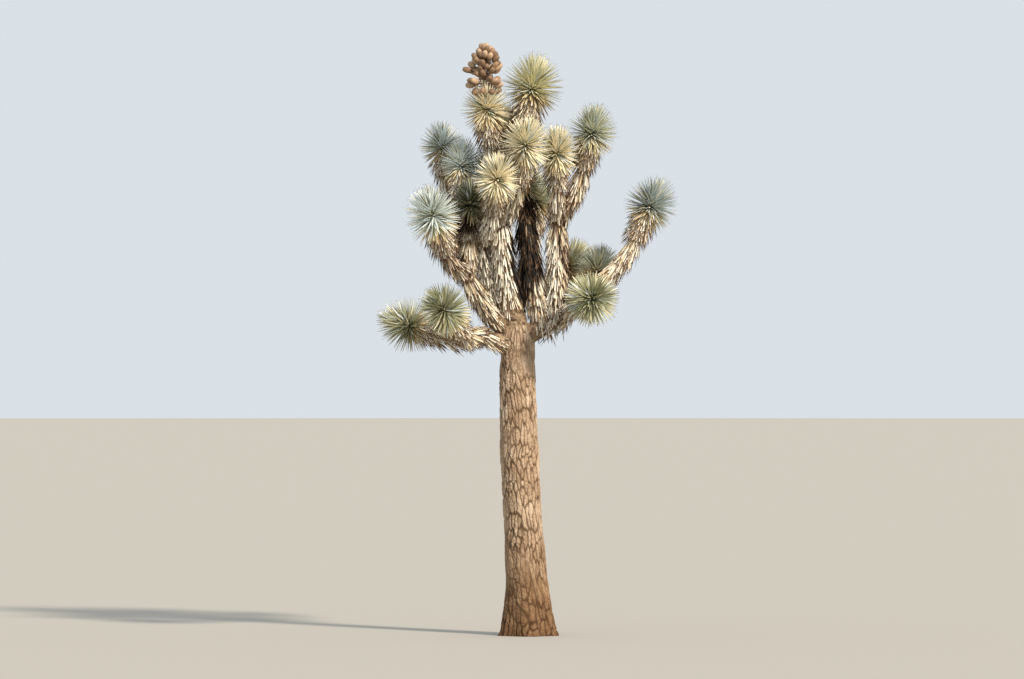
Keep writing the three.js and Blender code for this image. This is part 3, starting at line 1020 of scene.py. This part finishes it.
def make_bough_piece(boughs, seats):
    shape = Shape()
    for limb in boughs:

        def radius_share(share):
            if limb.parent != "trunk":
                return np.full(len(share), BOUGH.core)
            return mix((1, BOUGH.core), smooth_step(*BOUGH.bare, share * limb.length))

        add_limb(shape, limb, BOUGH, radius_share)
    for seat in seats:
        outline = (
            (seat.end_radius * BOUGH.stem_share, 0),
            (HEAD.stem_radius, HEAD.neck * seat.size),
            (HEAD.stem_radius, HEAD.stem_top * seat.size),
            (HEAD.stem_tip, HEAD.stem_end * seat.size),
        )
        before = shape.count
        add_lathe(shape, outline, BOUGH.sides, seat.foot, seat.axis)
        shape.values.append(np.zeros((shape.count - before, 2)))
    piece = shape.piece("bough_bark", bark_material("bough_bark", BOUGH))
    add_bark_values(piece, shape)
    show(piece, "thatch", *[f"bough_{limb.name}" for limb in boughs])


def make_leaf_pieces(boughs, seats, stretches):
    green = []
    fading = []
    dry = [thatch_leaves(limb, stretches) for limb in boughs]
    for seat in seats:
        tones = green_tones(seat, GREEN_LEAVES.count)
        green.append(head_leaves(GREEN_LEAVES, seat, seats, stretches, tones))
        tones = pick(FADING_TONES, np.ones(len(FADING_TONES)), FADING_LEAVES.count)
        fading.append(head_leaves(FADING_LEAVES, seat, seats, stretches, tones))
        tones = pick(DRY_TONES, YOUNG_SHARES, SKIRT_LEAVES.count)
        dry.append(head_leaves(SKIRT_LEAVES, seat, seats, stretches, tones))
    spine = plain_material("leaf_spine", SPINE, DRY_ROUGHNESS)
    heads = [f"head_{seat.name}" for seat in seats]
    all_nodes = heads + [f"bough_{limb.name}" for limb in boughs]
    for kind, batch, tones, blade, roughness, slot, nodes in (
        ("green", joined(green), GREEN_TONES, GREEN_BLADE, LEAF_ROUGHNESS, "leaves", heads),
        ("fading", joined(fading), FADING_TONES, GREEN_BLADE, LEAF_ROUGHNESS, "leaves", heads),
        ("dry", with_painted_light_and_shade(joined(dry)), DRY_TONES, DRY_BLADE, DRY_ROUGHNESS, "dead_leaves", all_nodes),
    ):
        for tone, colour in tones.items():
            leaves = cut_back(batch, (batch.tones == tone).astype(float))
            material = plain_material(f"{kind}_{tone}", colour, roughness)
            piece = blade_piece(f"{kind}_leaves_{tone}", leaves, blade, material, spine)
            show(piece, slot, *nodes)


def make_fruit_pieces(seat):
    """Oval fruits in a spiral round a stalk, each on its own pedicel, in three tones."""
    cluster = FRUIT_CLUSTER
    foot = HEAD.tip * seat.size
    shapes = [Shape() for _ in cluster.tones]
    stalk = ((cluster.stalk_radius, cluster.stalk_foot * seat.size), (cluster.stalk_radius, foot),
             (cluster.stalk_radius * cluster.stalk_tip, foot + cluster.height * cluster.heights[1]))
    add_lathe(shapes[-1], stalk, cluster.stalk_sides, seat.foot, seat.axis)
    steps = np.linspace(0, math.pi, cluster.fruit_rings + 2)[1:-1]
    for i in range(cluster.fruits):
        share = i / (cluster.fruits - 1)
        angle = math.radians(mix(cluster.angles, share) + jitter(cluster.angle_jitter, None))
        turn = i * GOLDEN_ANGLE + jitter(cluster.turn_jitter, None)
        outward = np.array([math.cos(turn), math.sin(turn), 0])
        axis = seat.pointed(outward * math.sin(angle) + UP * math.cos(angle))
        level = foot + cluster.height * mix(cluster.heights, share)
        base = seat.placed(UP * level)
        arched = mix(cluster.pedicels, share) + cluster.bulge * math.sin(math.pi * share)
        pedicel = arched * (1 + jitter(cluster.pedicel_jitter, None))
        length = cluster.fruit_length * (1 + jitter(cluster.length_jitter, None))
        within = length * cluster.pedicel_depth
        stick = ((cluster.pedicel_radius, 0), (cluster.pedicel_radius, pedicel + within))
        add_lathe(shapes[-1], stick, cluster.stalk_sides, base, axis)
        heights = pedicel + length * (1 - np.cos(steps)) / 2
        radii = cluster.fruit_radius * np.sin(steps) ** cluster.bluntness
        shape = shapes[rng.integers(len(shapes))]
        fruit = list(zip(radii, heights))
        add_lathe(shape, fruit, cluster.fruit_sides, base, axis, cluster.ridges, cluster.ridge)
    for i, (shape, colour) in enumerate(zip(shapes, cluster.tones)):
        name = f"fruit_{i + 1}"
        piece = shape.piece(name, plain_material(name, colour, cluster.roughness))
        show(piece, "fruit", f"head_{seat.name}")


# The stage, the light and the camera.
def make_stage():
    angle = np.arange(FLOOR.sides) / FLOOR.sides * FULL_TURN
    ring = np.stack([np.cos(angle), np.sin(angle), np.zeros(FLOOR.sides)], axis=1)
    shape = Shape()
    shape.add(ring * FLOOR.radius * METRE, np.arange(FLOOR.sides)[None])
    floor = shape.piece("floor", plain_material("floor", FLOOR.colour, FLOOR.roughness))
    world = bpy.data.worlds.new("sky")
    world.use_nodes = True
    background = world.node_tree.nodes["Background"]
    background.inputs["Color"].default_value = linear(SKY.colour)
    background.inputs["Strength"].default_value = SKY.strength
    bpy.context.scene.world = world
    bpy.context.scene.view_settings.view_transform = "Standard"
    light = bpy.data.lights.new("key", "SUN")
    light.energy = SUN.strength
    light.angle = math.radians(SUN.softness)
    light.color = linear(SUN.colour)[:3]
    key = bpy.data.objects.new("key", light)
    key.rotation_euler = Vector(SUN.towards).to_track_quat("Z", "Y").to_euler()
    bpy.context.scene.collection.objects.link(key)


def make_camera():
    camera = bpy.data.cameras.new("camera")
    camera.sensor_width = CAMERA.sensor
    camera.lens = CAMERA.sensor * CAMERA.distance / (CAMERA.frame_height * CAMERA.aspect)
    camera.clip_end = CAMERA.far
    holder = bpy.data.objects.new("camera", camera)
    holder.location = (CAMERA.aim[0], -CAMERA.distance, CAMERA.height)
    aim = Vector(CAMERA.aim) - holder.location
    holder.rotation_euler = aim.to_track_quat("-Z", "Y").to_euler()
    bpy.context.scene.collection.objects.link(holder)
    bpy.context.scene.camera = holder


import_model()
make_camera()
make_stage()
limbs = {"trunk": make_trunk()}
for bough in BOUGHS:
    limbs[bough["name"]] = make_bough(bough, limbs)
seats = [Seat(bough, limbs[bough["name"]]) for bough in BOUGHS if "head" in bough]
stretches = limb_stretches(limbs)
make_trunk_piece(limbs["trunk"])
boughs = [limb for limb in limbs.values() if limb.parent]
make_bough_piece(boughs, seats)
make_leaf_pieces(boughs, seats, stretches)
make_fruit_pieces(next(seat for seat in seats if seat.name == FRUIT_CLUSTER.head))
